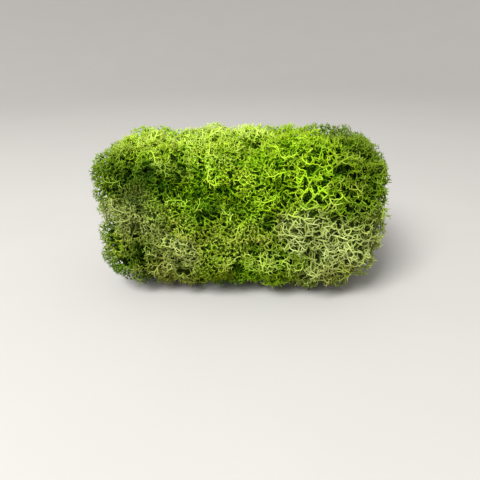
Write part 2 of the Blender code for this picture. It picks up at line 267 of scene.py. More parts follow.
# The stops of age and painted shade at which the lichen's colour is given, and the growth at each.
AGE_AND_SHADE_STOPS = {
    "tip": "the newest tips",
    "young": "the young branches",
    "old": "the old branches",
    "inner": "the oldest growth, deep inside",
}
# Colours of the dyed, preserved lichen at those stops, by slot: light at the tips and darker with depth,
# partly as older growth and partly as painted shade. The deep and olive colours also go where the clump lies
# in shade, at its ends and low down, as painted shade, and the pale colours paint in part the whitish haze of
# a clear film in front, which looks the same as pale growth.
TINTS_AND_LIGHT = {
    "lime_lichen": ("#E0F47C", "#B6DC34", "#6A9A0E", "#173002"),
    "leaf_lichen": ("#C6E440", "#9CCC18", "#5C900A", "#183202"),
    "deep_lichen": ("#94B03A", "#668A16", "#365A08", "#0C1C02"),
    "pale_lichen": ("#C4D086", "#A2B256", "#788E3E", "#364616"),
    "olive_lichen": ("#A9AA4E", "#7C8028", "#4A520E", "#181E05"),
}

HABITS = ("bushy", "loose", "open")
GOLDEN_ANGLE = math.pi * (3 - math.sqrt(5))

# The photo's camera: its place, the ways that are right and up in the picture, and its lens in mm.
CAMERA_PLACE = (0.021756, -0.277696, 0.166521)
CAMERA_RIGHT = (0.99726804, 0.06706644, -0.03096033)
CAMERA_UP = (-0.00329674, 0.45912434, 0.88836590)
LENS = 32.36
SENSOR_WIDTH = 36
# The key light's place, the place that it is turned towards, and its width.
KEY_PLACE = (-0.5, -0.9, 1.3)
KEY_TARGET = (0, 0, 0.05)
KEY_WIDTH = 0.7
STUDIO_COLOUR = (1.0, 0.99, 0.96, 1.0)
# The floor's radius, that of its flat middle, and how steeply it curves up round that.
FLOOR_RADIUS = 3.1
FLOOR_FLAT_RADIUS = 0.9
FLOOR_CURVE = 0.45


def linear(hex_colour):
    """An sRGB hex colour as linear RGB: c / 12.92 up to 0.04045, else ((c + 0.055) / 1.055)^2.4."""
    srgb = np.array([int(hex_colour[i : i + 2], 16) / 255 for i in (1, 3, 5)])
    return np.where(srgb <= 0.04045, srgb / 12.92, ((srgb + 0.055) / 1.055) ** 2.4).tolist()


def habit_properties(
    tip_spacing, widening, layers, rise, tip_radius, stem_radius, arms, arm_length, sideways, blunt,
    net_reach, wind, long_branches, sides, rings,
):
    """The properties of a habit by name, with these defaults."""
    return {
        "tip_spacing": FloatProperty(
            name="Tip Spacing", description="Distance between the outermost forks",
            default=tip_spacing, min=0.001, unit="LENGTH",
        ),
        "widening": FloatProperty(
            name="Widening", description="How much further apart the forks of each deeper layer are",
            default=widening, min=1.0, max=2.0, subtype="FACTOR",
        ),
        "layers": IntProperty(
            name="Layers", description="Layers of forks below the surface", default=layers, min=2, max=8,
        ),
        "rise": FloatProperty(
            name="Rise", description="How far apart the layers lie, as a share of the distance between forks",
            default=rise, min=0.2, max=1.5, subtype="FACTOR",
        ),
        "straightness": FloatProperty(
            name="Straightness", description="How strongly branches keep to the way out from their cluster",
            default=0.8, min=0.0, max=3.0,
        ),
        "tip_radius": FloatProperty(
            name="Tip Radius", description="Radius of the thinnest branches",
            default=tip_radius, unit="LENGTH",
        ),
        "stem_radius": FloatProperty(
            name="Stem Radius", description="Radius of the thickest branches",
            default=stem_radius, unit="LENGTH",
        ),
        "arms": IntProperty(
            name="Arms", description="Arms at the end of a branch", default=arms, min=2, max=7,
        ),
        "arm_length": FloatProperty(
            name="Arm Length", description="Length of those arms", default=arm_length, unit="LENGTH",
        ),
        "sideways": FloatProperty(
            name="Sideways", default=sideways, max=1.0, subtype="FACTOR",
            description="How far to one side of the head it grows from, in shares of its radius",
        ),
        "blunt": BoolProperty(name="Blunt", description="Whether the arms end bluntly", default=blunt),
        "net_reach": FloatProperty(
            name="Net Reach", description="How far apart neighbouring forks may be that a branch joins, or 0",
            default=net_reach, min=0.0, unit="LENGTH",
        ),
        "wind": FloatProperty(
            name="Wind", description="How much branches wind on their way from fork to fork",
            default=wind, min=0.0, max=1.0, subtype="FACTOR",
        ),
        "long_branches": IntProperty(
            name="Long Branches", description="Longer branches that lie over the others at random places",
            default=long_branches, min=0,
        ),
        "sides": IntProperty(
            name="Sides", description="Flat sides of a branch", default=sides, min=3, max=8,
        ),
        "rings": IntProperty(
            name="Rings", description="Rings along a fine branch", default=rings, min=2, max=8,
        ),
    }


class BushyHabit(bpy.types.PropertyGroup):
    """A dense head whose branches grow straight out from the tuft's root."""

    __annotations__ = habit_properties(
        tip_spacing=0.0021, widening=1.27, layers=6, rise=0.6, tip_radius=0.00026, stem_radius=0.00062,
        arms=4, arm_length=0.0019, sideways=0.0, blunt=False, net_reach=0.0, wind=0.16, long_branches=2,
        sides=3, rings=3,
    )


class LooseHabit(bpy.types.PropertyGroup):
    """A looser head, with thicker branches that lean to one side and a narrow net between them."""

    __annotations__ = habit_properties(
        tip_spacing=0.0027, widening=1.22, layers=5, rise=0.5, tip_radius=0.00031, stem_radius=0.00068,
        arms=3, arm_length=0.0027, sideways=0.4, blunt=True, net_reach=0.0050, wind=0.30, long_branches=3,
        sides=4, rings=4,
    )


class OpenHabit(bpy.types.PropertyGroup):
    """An open head seen from its side: a wide net of thick branches with dark gaps."""

    __annotations__ = habit_properties(
        tip_spacing=0.0034, widening=1.25, layers=5, rise=0.34, tip_radius=0.00031, stem_radius=0.00070,
        arms=2, arm_length=0.0022, sideways=0.75, blunt=True, net_reach=0.0068, wind=0.40, long_branches=3,
        sides=5, rings=4,
    )


class DyeAndLightSettings(bpy.types.PropertyGroup):
    """The colours of the dyed lichen in each slot, from its newest tips to its oldest growth, with painted
    shade and a painted haze.
    """

    __annotations__ = {
        f"{slot}_{age}": FloatVectorProperty(
            name=f"{slot} {age}".replace("_", " ").title(), description=f"Colour of {growth}",
            default=linear(tint), min=0.0, max=1.0, subtype="COLOR", size=3,
        )
        for slot, tints in TINTS_AND_LIGHT.items()
        for (age, growth), tint in zip(AGE_AND_SHADE_STOPS.items(), tints)
    }


class MossSettings(bpy.types.PropertyGroup):
    """The habits and the colours, and the sizes that all the tufts share."""

    bushy: PointerProperty(type=BushyHabit)
    loose: PointerProperty(type=LooseHabit)
    open: PointerProperty(type=OpenHabit)
    dyes: PointerProperty(type=DyeAndLightSettings)
    seed: IntProperty(name="Seed", description="Another seed grows another clump", default=11, min=0)
    overlap: FloatProperty(
        name="Overlap", description="How far the twigs of neighbouring tufts reach between each other",
        default=0.0022, min=0.0, unit="LENGTH",
    )
    cluster_width: FloatProperty(
        name="Cluster Width", description="Distance between the clusters of branches that make up a head",
        default=0.012, min=0.004, unit="LENGTH",
    )
    crease_depth: FloatProperty(
        name="Crease Depth", description="How far the surface sinks between clusters",
        default=0.0028, unit="LENGTH",
    )
    unevenness: FloatProperty(
        name="Unevenness", description="How far clusters stand above or below each other",
        default=0.0014, unit="LENGTH",
    )
    pit_size: FloatProperty(
        name="Pit Size", description="Distance between small dark pits", default=0.015, unit="LENGTH",
    )
    pit_depth: FloatProperty(
        name="Pit Depth", description="Depth of those pits", default=0.006, unit="LENGTH",
    )
    body_depth: FloatProperty(
        name="Body Depth", description="Depth of the dark body under a head's surface",
        default=0.0085, min=0.004, unit="LENGTH",
    )
    # Painted shade: the colour darkens with depth below the surface, partly as older growth, down to this
    # depth.
    old_depth: FloatProperty(
        name="Old Depth", description="Depth at which the growth has its oldest, darkest colour",
        default=0.0125, min=0.004, unit="LENGTH",
    )
    grain: FloatProperty(
        name="Grain", description="Size of the woolly grain on a branch", default=0.0004, unit="LENGTH",
    )
    # Painted shade in the hollows and pits: their depth darkens the colour of the growth in them by this
    # share.
    hollow_shade: FloatProperty(
        name="Hollow Shade", description="How much of a hollow's depth counts towards the age of its growth",
        default=0.9, min=0.0, max=1.0, subtype="FACTOR",
    )
    # Painted shade near the floor: growth below the Ground Reach is coloured as if up to this much deeper.
    ground_shade: FloatProperty(
        name="Ground Shade", description="How much older the growth is by the ground, as a depth",
        default=0.0070, min=0.0, unit="LENGTH",
    )
    ground_reach: FloatProperty(
        name="Ground Reach", description="Height above the ground to which that growth is older",
        default=0.030, min=0.001, unit="LENGTH",
    )
    crowding: FloatProperty(
        name="Crowding", description="Width of the crowded old branches that mottle the deep growth",
        default=0.0018, unit="LENGTH",
    )
    patch: FloatProperty(
        name="Patch", description="Size of the patches that took the dye differently",
        default=0.009, unit="LENGTH",
    )
    blend: FloatProperty(
        name="Blend", description="How far the colour of a tuft runs into its neighbours",
        default=0.003, min=0.0001, unit="LENGTH",
    )


class StageSettings(bpy.types.PropertyGroup):
    """The floor, the light and the camera."""

    floor_colour: FloatVectorProperty(
        name="Floor Colour", description="Colour of the floor", subtype="COLOR", size=3,
        default=(0.55, 0.537, 0.515), min=0.0, max=1.0,
    )
    key_power: FloatProperty(
        name="Key Power", description="Power of the soft light above the front", default=36.0, unit="POWER",
    )
    fill_strength: FloatProperty(
        name="Fill Strength", description="Brightness of the light from all round", default=0.6, min=0.0,
    )
    use_floor: BoolProperty(name="Floor", description="Whether the clump stands on a floor", default=True)


def unit(ways):
    """Each way divided by its own length."""
    return ways / np.maximum(np.linalg.norm(ways, axis=-1, keepdims=True), 1e-12)


def block_share(points):
    """How far out points lie, as the scale at which the rounded block would pass through them.

    Formula: ((|y/b|^3 + |z/c|^3)^2 + |x/a|^6)^(1/6), with a, b and c the block's half sizes.
    """
    x, y, z = np.moveaxis(np.abs((points - MIDDLE) / HALF_SIZES), -1, 0)
    section = (y**SECTION_SQUARENESS + z**SECTION_SQUARENESS) ** (END_SQUARENESS / SECTION_SQUARENESS)
    return (section + x**END_SQUARENESS) ** (1 / END_SQUARENESS)


def block_normal(point):
    """Outward normal of the rounded block: the slope of its formula at the point."""
    x, y, z = (point - MIDDLE) / HALF_SIZES
    section = abs(y) ** SECTION_SQUARENESS + abs(z) ** SECTION_SQUARENESS
    taper = section ** (END_SQUARENESS / SECTION_SQUARENESS - 1)
    slopes = np.array([
        math.copysign(abs(x) ** (END_SQUARENESS - 1), x),
        math.copysign(abs(y) ** (SECTION_SQUARENESS - 1) * taper, y),
        math.copysign(abs(z) ** (SECTION_SQUARENESS - 1) * taper, z),
    ])
    return unit(slopes / HALF_SIZES)


def on_block(across, around):
    """The point on the rounded block at a place along X in mm and at degrees round the clump."""
    x = across / 1000
    side = np.array([0, -math.cos(math.radians(around)), math.sin(math.radians(around))])
    left = (1 - abs(x / HALF_SIZES[0]) ** END_SQUARENESS) ** (1 / END_SQUARENESS)
    return np.array([x, 0, 0]) + MIDDLE + side * left / block_share(side + MIDDLE)


def tuft_places():
    """Every tuft's point on the rounded block, its width and its habit, by the name of its node."""
    through = {}
    for name, (across, around, width, habit) in SIDE_TUFTS.items():
        through[name] = (across, around, width, habit)
    draw = random.Random(ROW_SEED)
    for row, (around, places, width, habit) in ROWS.items():
        for count, across in enumerate(places, 1):
            shift = draw.uniform(-ROW_JITTER_MM, ROW_JITTER_MM)
            turn = draw.uniform(-ROW_JITTER_DEGREES, ROW_JITTER_DEGREES)
            through[f"{row}_{count}"] = (across + shift, around + turn, width, habit)
    places = {}
    for name, (across, around, width, habit) in through.items():
        places[f"tuft_{name}"] = (on_block(across, around), width / 1000, habit)
    for name, (across, depth, height, width, habit) in END_TUFTS.items():
        way = np.array([across, depth, height]) / 1000
        places[f"tuft_{name}"] = (MIDDLE + way / block_share(way + MIDDLE), width / 1000, habit)
    return places


class Tuft:
    """Where one tuft grows: its root, the way it faces, the radius of its head and the walls of its cell."""

    def __init__(self, name, point, width, habit):
        self.name = name
        self.habit = habit
        self.radius = HEAD_RADIUS_SHARE * width
        self.facing = block_normal(point)
        self.root = point - self.facing * self.radius
        self.limits = np.vstack([np.eye(3), -np.eye(3)])
        self.limit_reaches = REACHES - self.limits @ self.root

    def wall_off(self, tufts):
        """Sets the cell's walls: the way each wall faces, and how far it is from the root.

        Between two tufts it is the plane of equal power, which is distance squared less radius squared. The
        clump's limits and the floor are walls too.
        """
        others = [other for other in tufts if other is not self]
        away = np.array([other.root for other in others]) - self.root
        far = np.linalg.norm(away, axis=1)
        swell = self.radius**2 - np.array([other.radius for other in others]) ** 2
        self.walls = np.vstack([away / far[:, None], self.limits])
        self.wall_reaches = np.concatenate([(far**2 + swell) / (2 * far), self.limit_reaches])

    def head(self, ways):
        """How far the head's surface is from the root along each way.

        Halving finds where each way meets the rounded block. The surface lies between there and the ball,
        but never past the clump's limits or the floor.
        """
        near = np.zeros(ways.shape[:-1])
        far = near + self.radius * PRESSED_REACH
        for _ in range(11):
            half = (near + far) / 2
            inside = block_share(self.root + ways * half[..., None]) < 1
            near, far = np.where(inside, half, near), np.where(inside, far, half)
        reach = self.radius + (near - self.radius) * PRESSED_SHARE
        return np.minimum(reach, self.along(ways, self.limits, self.limit_reaches))

    def past_wall(self, points):
        """How far each point is past the nearest wall of the cell. Less than 0 is inside."""
        return np.max((points - self.root) @ self.walls.T - self.wall_reaches, axis=-1)

    def along(self, ways, walls, reaches):
        """How far one may go from the root along each way before the first of these walls."""
        share = ways @ walls.T
        return np.min(np.where(share > 1e-6, reaches / np.maximum(share, 1e-6), NO_WALL), axis=-1)


def lump_field(draw, waves, size):
    """A smooth uneven field over points, about -1 to 1, whose lumps are this size.

    Formula: the sum over n random ways v of cos(2 pi v . p / size + phase), divided by the root of n.
    """
    vectors = unit(draw.normal(size=(waves, 3))) * draw.uniform(0.7, 1.3, (waves, 1)) * math.tau / size
    phases = draw.uniform(0, math.tau, waves)
    return lambda points: np.cos(points @ vectors.T + phases).sum(axis=-1) / math.sqrt(waves)


def spiral_ways(count, draw):
    """Ways spread evenly over a sphere: the k-th has height 1 - (2k + 1)/n and turns k golden angles.

    The sphere is turned at random, and each way is strewn by about a quarter of the distance between ways.
    """
    k = np.arange(count)
    height = 1 - (2 * k + 1) / count
    side = np.sqrt(1 - height**2)
    ways = np.stack([side * np.cos(k * GOLDEN_ANGLE), side * np.sin(k * GOLDEN_ANGLE), height], axis=1)
    ways = ways @ np.linalg.qr(draw.normal(size=(3, 3)))[0]
    return unit(ways + draw.normal(0, 0.26 * math.sqrt(4 * math.pi / count), ways.shape))


class Clusters:
    """The clusters of branches that make up a head, each a low dome of its own."""

    def __init__(self, tuft, moss, draw):
        self.tuft, self.moss = tuft, moss
        count = int(4 * math.pi * tuft.radius**2 / moss.cluster_width**2)
        self.ways = spiral_ways(max(count, 10), draw)
        self.reaches = tuft.head(self.ways)
        self.tops = tuft.root + self.ways * self.reaches[:, None]
        self.heights = draw.uniform(-1, 1, len(self.ways)) * moss.unevenness
        self.pits = lump_field(np.random.default_rng(moss.seed), 9, moss.pit_size)
        self.hollows = np.array([on_block(across, around) for across, around, _, _ in HOLLOWS])
        self.hollow_radii, self.hollow_depths = np.array([hollow[2:] for hollow in HOLLOWS]).T / 1000

    def nearest(self, points):
        """Which cluster's top lies nearest to each point, and how far off it is."""
        apart = np.linalg.norm(points[..., None, :] - self.tops, axis=-1)
        return apart.argmin(axis=-1), apart.min(axis=-1)

    def dome(self, ways):
        """How far the uneven surface is from the root along each way.

        Formula: h(w) + u_j - c min(1, d / 0.62 m)^2 - s, where h is the head's surface, u_j the height of
        the nearest cluster, d the distance to its top, m the clusters' width, c the crease depth and s how
        deep the hollows and pits are there.
        """
        surface = self.tuft.head(ways)
        places = self.tuft.root + ways * surface[..., None]
        which, apart = self.nearest(places)
        crease = self.moss.crease_depth * np.clip(apart / (0.62 * self.moss.cluster_width), 0, 1) ** 2
        return surface + self.heights[which] - crease - self.sunk(places)

    def sunk(self, places):
        """How deep the hollows and pits are at places on the surface.

        Formula: the sum of D exp(-(d / r)^2), with D and r a hollow's depth and radius and d the distance to
        it, and then the pits, where a lump field is above 0.6.
        """
        apart = np.linalg.norm(places[..., None, :] - self.hollows, axis=-1)
        hollow = (self.hollow_depths * np.exp(-((apart / self.hollow_radii) ** 2))).sum(axis=-1)
        return hollow + self.moss.pit_depth * np.clip(self.pits(places) - 0.6, 0, 0.5) / 0.5

    def outward(self, points, depths, origin):
        """The way out at each point: away from its cluster's root near the surface, from the origin below.

        The root lies 0.95 of the clusters' width below the cluster's top, and the two ways blend down to a
        depth of 0.9 of that width.
        """
        which, _ = self.nearest(points)
        roots = self.tuft.root + self.ways * (self.reaches - 0.95 * self.moss.cluster_width)[:, None]
        deep = np.clip(depths / (0.9 * self.moss.cluster_width), 0, 1)[:, None]
        return unit(unit(points - roots[which]) * (1 - deep) + unit(points - origin) * deep)


def fork_points(tuft, habit, moss, dome, draw):
    """Points where the tuft forks, in layers below its surface, and the depth of each below that surface.

    Layer k has spacing s_k = s_0 w^k, and lies the rise times s_k below the layer outside it, give or take
    0.35 of that. The outermost layer leaves room for its arms. Forks are a little further apart on the
    largest heads.
    """
    points, depths = [], []
    depth = habit.arm_length * 0.75
    spacing = habit.tip_spacing * max(1, tuft.radius / FINE_RADIUS)
    for _ in range(habit.layers):
        count = int(4 * math.pi * (tuft.radius - depth) ** 2 / spacing**2)
        ways = spiral_ways(max(count, 12), draw)
        ways = ways[ways @ tuft.facing > OPEN_RISE]
        below = depth + draw.uniform(-0.35, 0.35, len(ways)) * spacing * habit.rise
        points.append(tuft.root + ways * (dome(ways) - below)[:, None])
        depths.append(below)
        spacing *= habit.widening
        depth += spacing * habit.rise
    points, depths = np.vstack(points), np.concatenate(depths)
    inside = (tuft.past_wall(points) < moss.overlap) & (points[:, 2] > FORK_FLOOR)
    inside &= block_share(points) > DEEPEST_SHARE
    return points[inside], depths[inside]


def grow_tree(points, depths, origin, out, habit, draw):
    """Each point's parent, or -1 where a branch starts.

    The parent of p is the q, nearer to the origin or deeper than p, with the least cost, which is
    |p - q| (1 + k (1 - cos a)), where k is the straightness and a the angle between p - q and the way out
    at p. The costs are multiplied by random numbers near 1. A branch starts where the least is over 4.5 times
    the distance between tips.
    """
    step = habit.tip_spacing
    growth = np.linalg.norm(points - origin, axis=1) - depths * 0.5
    parents = []
    for block in np.array_split(np.arange(len(points)), len(points) // 400 + 1):
        span = points[block, None] - points
        length = np.linalg.norm(span, axis=2)
        cosine = np.einsum("pqi,pi->pq", span, out[block]) / np.maximum(length, 1e-9)
        cost = length * (1 + habit.straightness * (1 - cosine)) * draw.uniform(0.85, 1.15, length.shape)
        cost[growth > growth[block, None] - step * habit.rise / 3] = np.inf
        parents.append(np.where(cost.min(axis=1) < 4.5 * step, cost.argmin(axis=1), -1))
    return np.concatenate(parents)


def generations(parents):
    """How many forks lie between each point and the start of its branch."""
    order = np.zeros(len(parents), int)
    above = parents.copy()
    while (above >= 0).any():
        order += above >= 0
        above = np.where(above >= 0, parents[above], -1)
    return order


def net_pairs(points, parents, shallow, reach, draw):
    """Pairs of forks near the surface that a branch of the net runs between.

    Each fork is paired with the two nearest within reach, other than its parent and its children. The
    distances are first multiplied by random numbers near 1, and each pair is kept once.
    """
    here = np.flatnonzero(shallow)
    apart = np.linalg.norm(points[here, None] - points[here], axis=2)
    apart = apart * draw.uniform(0.8, 1.2, apart.shape)
    kin = (parents[here, None] == here) | (parents[here] == here[:, None]) | np.eye(len(here), dtype=bool)
    apart[kin] = np.inf
    nearest = np.argsort(apart, axis=1)[:, :2]
    close = np.take_along_axis(apart, nearest, axis=1) < reach
    pairs = np.stack([np.broadcast_to(here[:, None], nearest.shape)[close], here[nearest][close]], axis=1)
    return np.unique(np.sort(pairs, axis=1), axis=0).T


def branch_radii(parents, order, thin, thick):
    """The radius at each point, from thin up to thick: r^n is the sum of its children's, n the pipe power."""
    load = np.ones(len(parents))
    load[np.isin(np.arange(len(parents)), parents)] = 0
    for generation in range(order.max(), 0, -1):
        here = order == generation
        np.add.at(load, parents[here], load[here])
    return np.minimum(thin * np.maximum(load, 1) ** (1 / PIPE_POWER), thick)


def held_back(points):
    """The points, with those that lie out of bounds moved straight back.

    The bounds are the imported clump's box with a margin all round, and a plane just above the floor.
    """
    low, high = np.array(CAD_BOX)
    margin = BOX_MARGIN_SHARE * (high - low)
    points = np.clip(points, low - margin, high + margin)
    points[:, 2] = np.maximum(points[:, 2], TWIG_FLOOR)
    return points


class Lichen:
    """Gathers a piece's surfaces as arrays of points, quads and triangles.

    Each point has an age with painted shade, from 0 for new tips to 1 for the oldest, deepest and most shaded
    branches and more for the dark body, and a shade from 0 to 1 by which branches differ.
    """

    def __init__(self):
        self.points, self.ages, self.shades = [], [], []
        self.quads, self.triangles = [], []
        self.count = 0

    def add(self, points, ages, shades, quads, triangles):
        """Adds one surface. Its quads and triangles count from its own first point."""
        self.points.append(points.reshape(-1, 3))
        self.ages.append(ages.ravel())
        self.shades.append(shades.ravel())
        self.quads.append(quads.reshape(-1, 4) + self.count)
        self.triangles.append(triangles.reshape(-1, 3) + self.count)
        self.count += len(self.points[-1])

    def add_tubes(self, paths, radii, ages, shades, sides, pointed):
        """Tubes round paths, with a point at the end where they are pointed.

        Formula: ring i, turn a is P_i + r_i (cos a N_i + sin a B_i), where T_i is the path's tangent,
        N_i = T_i x R for the axis R that the path runs along least, and B_i = T_i x N_i.
        """
        tangents = unit(np.gradient(paths, axis=1))
        axis = np.eye(3)[np.argmin(np.abs(paths[:, -1] - paths[:, 0]), axis=1)]
        normals = unit(np.cross(tangents, axis[:, None]))
        binormals = np.cross(tangents, normals)
        turns = np.arange(sides) * math.tau / sides
        cosines, sines = np.cos(turns)[:, None], np.sin(turns)[:, None]
        across = cosines * normals[:, :, None] + sines * binormals[:, :, None]
        rings = paths[:, :, None] + radii[:, :, None, None] * across
        tubes, steps = paths.shape[:2]
        last = steps - 1 if pointed else steps
        points = rings[:, :last].reshape(tubes, -1, 3)
        ages = np.repeat(ages, sides, axis=1).reshape(tubes, steps, sides)[:, :last].reshape(tubes, -1)
        if pointed:
            points = np.concatenate([points, paths[:, -1:]], axis=1)
            ages = np.concatenate([ages, ages[:, -1:]], axis=1)
        starts = np.arange(tubes)[:, None, None] * points.shape[1]
        ring = np.arange(last - 1)[:, None] * sides
        here, there = np.arange(sides), (np.arange(sides) + 1) % sides
        quads = np.stack([ring + here, ring + there, ring + there + sides, ring + here + sides], axis=-1)
        triangles = np.empty((0, 3), int)
        if pointed:
            edge = (last - 1) * sides
            triangles = np.stack([edge + here, edge + there, np.full(sides, last * sides)], axis=-1)
            triangles = triangles[None] + starts
        shades = np.repeat(shades[:, None], points.shape[1], axis=1)
        self.add(points, ages, shades, quads[None] + starts[..., None], triangles)

    def make(self, name, material, turn):
        """Puts the surfaces into a mesh, and the ages with painted shade, the shades and the turns of colour
        into its attributes.
        """
        points = held_back(np.vstack(self.points))
        quads, triangles = np.vstack(self.quads), np.vstack(self.triangles)
        mesh = bpy.data.meshes.new(name)
        mesh.vertices.add(len(points))
        mesh.vertices.foreach_set("co", points.astype(np.float32).ravel())
        corners = np.concatenate([quads.ravel(), triangles.ravel()])
        mesh.loops.add(len(corners))
        mesh.loops.foreach_set("vertex_index", corners.astype(np.int32))
        sizes = np.concatenate([np.full(len(quads), 4), np.full(len(triangles), 3)])
        mesh.polygons.add(len(sizes))
        mesh.polygons.foreach_set("loop_start", (np.cumsum(sizes) - sizes).astype(np.int32))
        mesh.update(calc_edges=True)
        mesh.shade_smooth()
        for label, values in (("age", self.ages), ("shade", self.shades)):
            mesh.attributes.new(label, "FLOAT", "POINT").data.foreach_set(
                "value", np.concatenate(values).astype(np.float32)
            )
        mesh.attributes.new("turn", "FLOAT_VECTOR", "POINT").data.foreach_set(
            "vector", turn.astype(np.float32).ravel()
        )
        mesh.materials.append(material)
        piece = bpy.data.objects.new(name, mesh)
        bpy.context.scene.collection.objects.link(piece)
        return piece


def curves(starts, ends, leaving, arriving, steps, swing=1 / 3):
    """Points along curves between starts and ends.

    Formula: the cubic (1-t)^3 A + 3 (1-t)^2 t (A + s L) + 3 (1-t) t^2 (B - s M) + t^3 B, where s is the swing
    and L and M are the ways of leaving and arriving, as long as the straight line from A to B.
    """
    length = np.linalg.norm(ends - starts, axis=1)[:, None]
    first = starts + unit(leaving) * length * swing
    second = ends - unit(arriving) * length * swing
    t = np.linspace(0, 1, steps)[:, None]
    weights = [(1 - t) ** 3, 3 * (1 - t) ** 2 * t, 3 * (1 - t) * t**2, t**3]
    return sum(w * p[:, None] for w, p in zip(weights, (starts, first, second, ends)))


def arm_paths(bases, headings, arms, length, blunt, draw):
    """Paths of the arms that spread from the end of each branch. A blunt arm has a ring near its end.

    Formula: arm j of a star is a straight line at 32 to 68 degrees from the heading, turned round it by
    c + 2 pi j / arms and a little more or less, where c is random.
    """
    side = unit(np.cross(headings, draw.normal(size=headings.shape)))
    other = np.cross(headings, side)
    turns = draw.uniform(0, math.tau, (len(bases), 1)) + np.arange(arms) * math.tau / arms
    turns = turns + draw.uniform(-0.35, 0.35, turns.shape)
    lean = np.radians(draw.uniform(32, 68, turns.shape))[..., None]
    out = np.cos(turns)[..., None] * side[:, None] + np.sin(turns)[..., None] * other[:, None]
    ways = np.cos(lean) * headings[:, None] + np.sin(lean) * out
    reach = (length * draw.uniform(0.65, 1.25, turns.shape))[..., None]
    along = np.array([0, 0.85, 1]) if blunt else np.array([0, 1])
    return (bases[:, None, None] + (ways * reach)[:, :, None] * along[:, None]).reshape(-1, len(along), 3)


def add_body(lichen, tuft, dome, moss, draw):
    """The rough dark body in the tuft's middle, whose dark colour is painted shade of the deep inside.

    Rings of points round the way the tuft faces, and a point at each end. The distance along each way is the
    greater of the dome less the body's depth and the last distance at which the way is still deep in the
    clump, but never past the cell's walls.
    """
    rings, columns = BODY_RINGS, BODY_RING_POINTS
    leans = np.arange(1, rings + 1) * math.pi / (rings + 1)
    turns = np.arange(columns) * math.tau / columns
    lean, turn = np.meshgrid(leans, turns, indexing="ij")
    local = np.stack([np.sin(lean) * np.cos(turn), np.sin(lean) * np.sin(turn), np.cos(lean)], axis=-1)
    local = np.vstack([local.reshape(-1, 3), [(0, 0, 1), (0, 0, -1)]])
    ways = local @ np.array(Vector(tuft.facing).to_track_quat("Z", "Y").to_matrix()).T
    distances = np.arange(0, BODY_REACH, BODY_STEP)
    deep = block_share(tuft.root + ways[:, None] * distances[:, None]) < BURIED_SHARE
    buried = np.max(np.where(deep, distances, 0.0), axis=1)
    rough = lump_field(draw, 9, BODY_LUMP)(ways * BODY_BALL) * BODY_ROUGHNESS
    radius = np.maximum(dome(ways) - moss.body_depth, buried) + rough
    within = tuft.along(ways, tuft.walls, tuft.wall_reaches) - BODY_CLEARANCE
    points = tuft.root + ways * np.minimum(np.maximum(radius, BODY_LEAST), within)[:, None]
    index = np.arange(rings * columns).reshape(rings, columns)
    after = np.roll(index, -1, axis=1)
    quads = np.stack([index[:-1], index[1:], after[1:], after[:-1]], axis=-1)
    first, last = np.full(columns, rings * columns), np.full(columns, rings * columns + 1)
    ends = [np.stack([first, index[0], after[0]], axis=1), np.stack([index[-1], last, after[-1]], axis=1)]
    lichen.add(points, np.full(len(points), BODY_AGE_AND_SHADE), np.full(len(points), 0.5), quads, np.vstack(ends))


def winding(corners, steps):
    """A smooth path through corners: the Catmull-Rom curve, with this many steps between each two."""
    ends = [2 * corners[0] - corners[1], *corners, 2 * corners[-1] - corners[-2]]
    before, start, end, after = (np.array(ends[i : len(ends) - 3 + i])[:, None] for i in range(4))
    t = (np.arange(steps) / steps)[:, None]
    path = start + 0.5 * t * (end - before)
    path = path + 0.5 * t**2 * (2 * before - 5 * start + 4 * end - after)
    path = path + 0.5 * t**3 * (3 * start - before - 3 * end + after)
    return np.vstack([path.reshape(-1, 3), corners[-1]])


def drawn_ways(tuft, count, draw):
    """Ways of a branch that wanders over the head: each is 0.16 radii from the last, and turned a little."""
    way = unit(tuft.facing + draw.normal(0, 0.38, 3))
    ahead = unit(np.cross(way, draw.normal(size=3)))
    ways = [way]
    for _ in range(count):
        ahead = unit(ahead + np.cross(way, ahead) * draw.uniform(-0.6, 0.6))
        way = unit(way + 0.16 * ahead)
        ways.append(way)
    return np.array(ways)


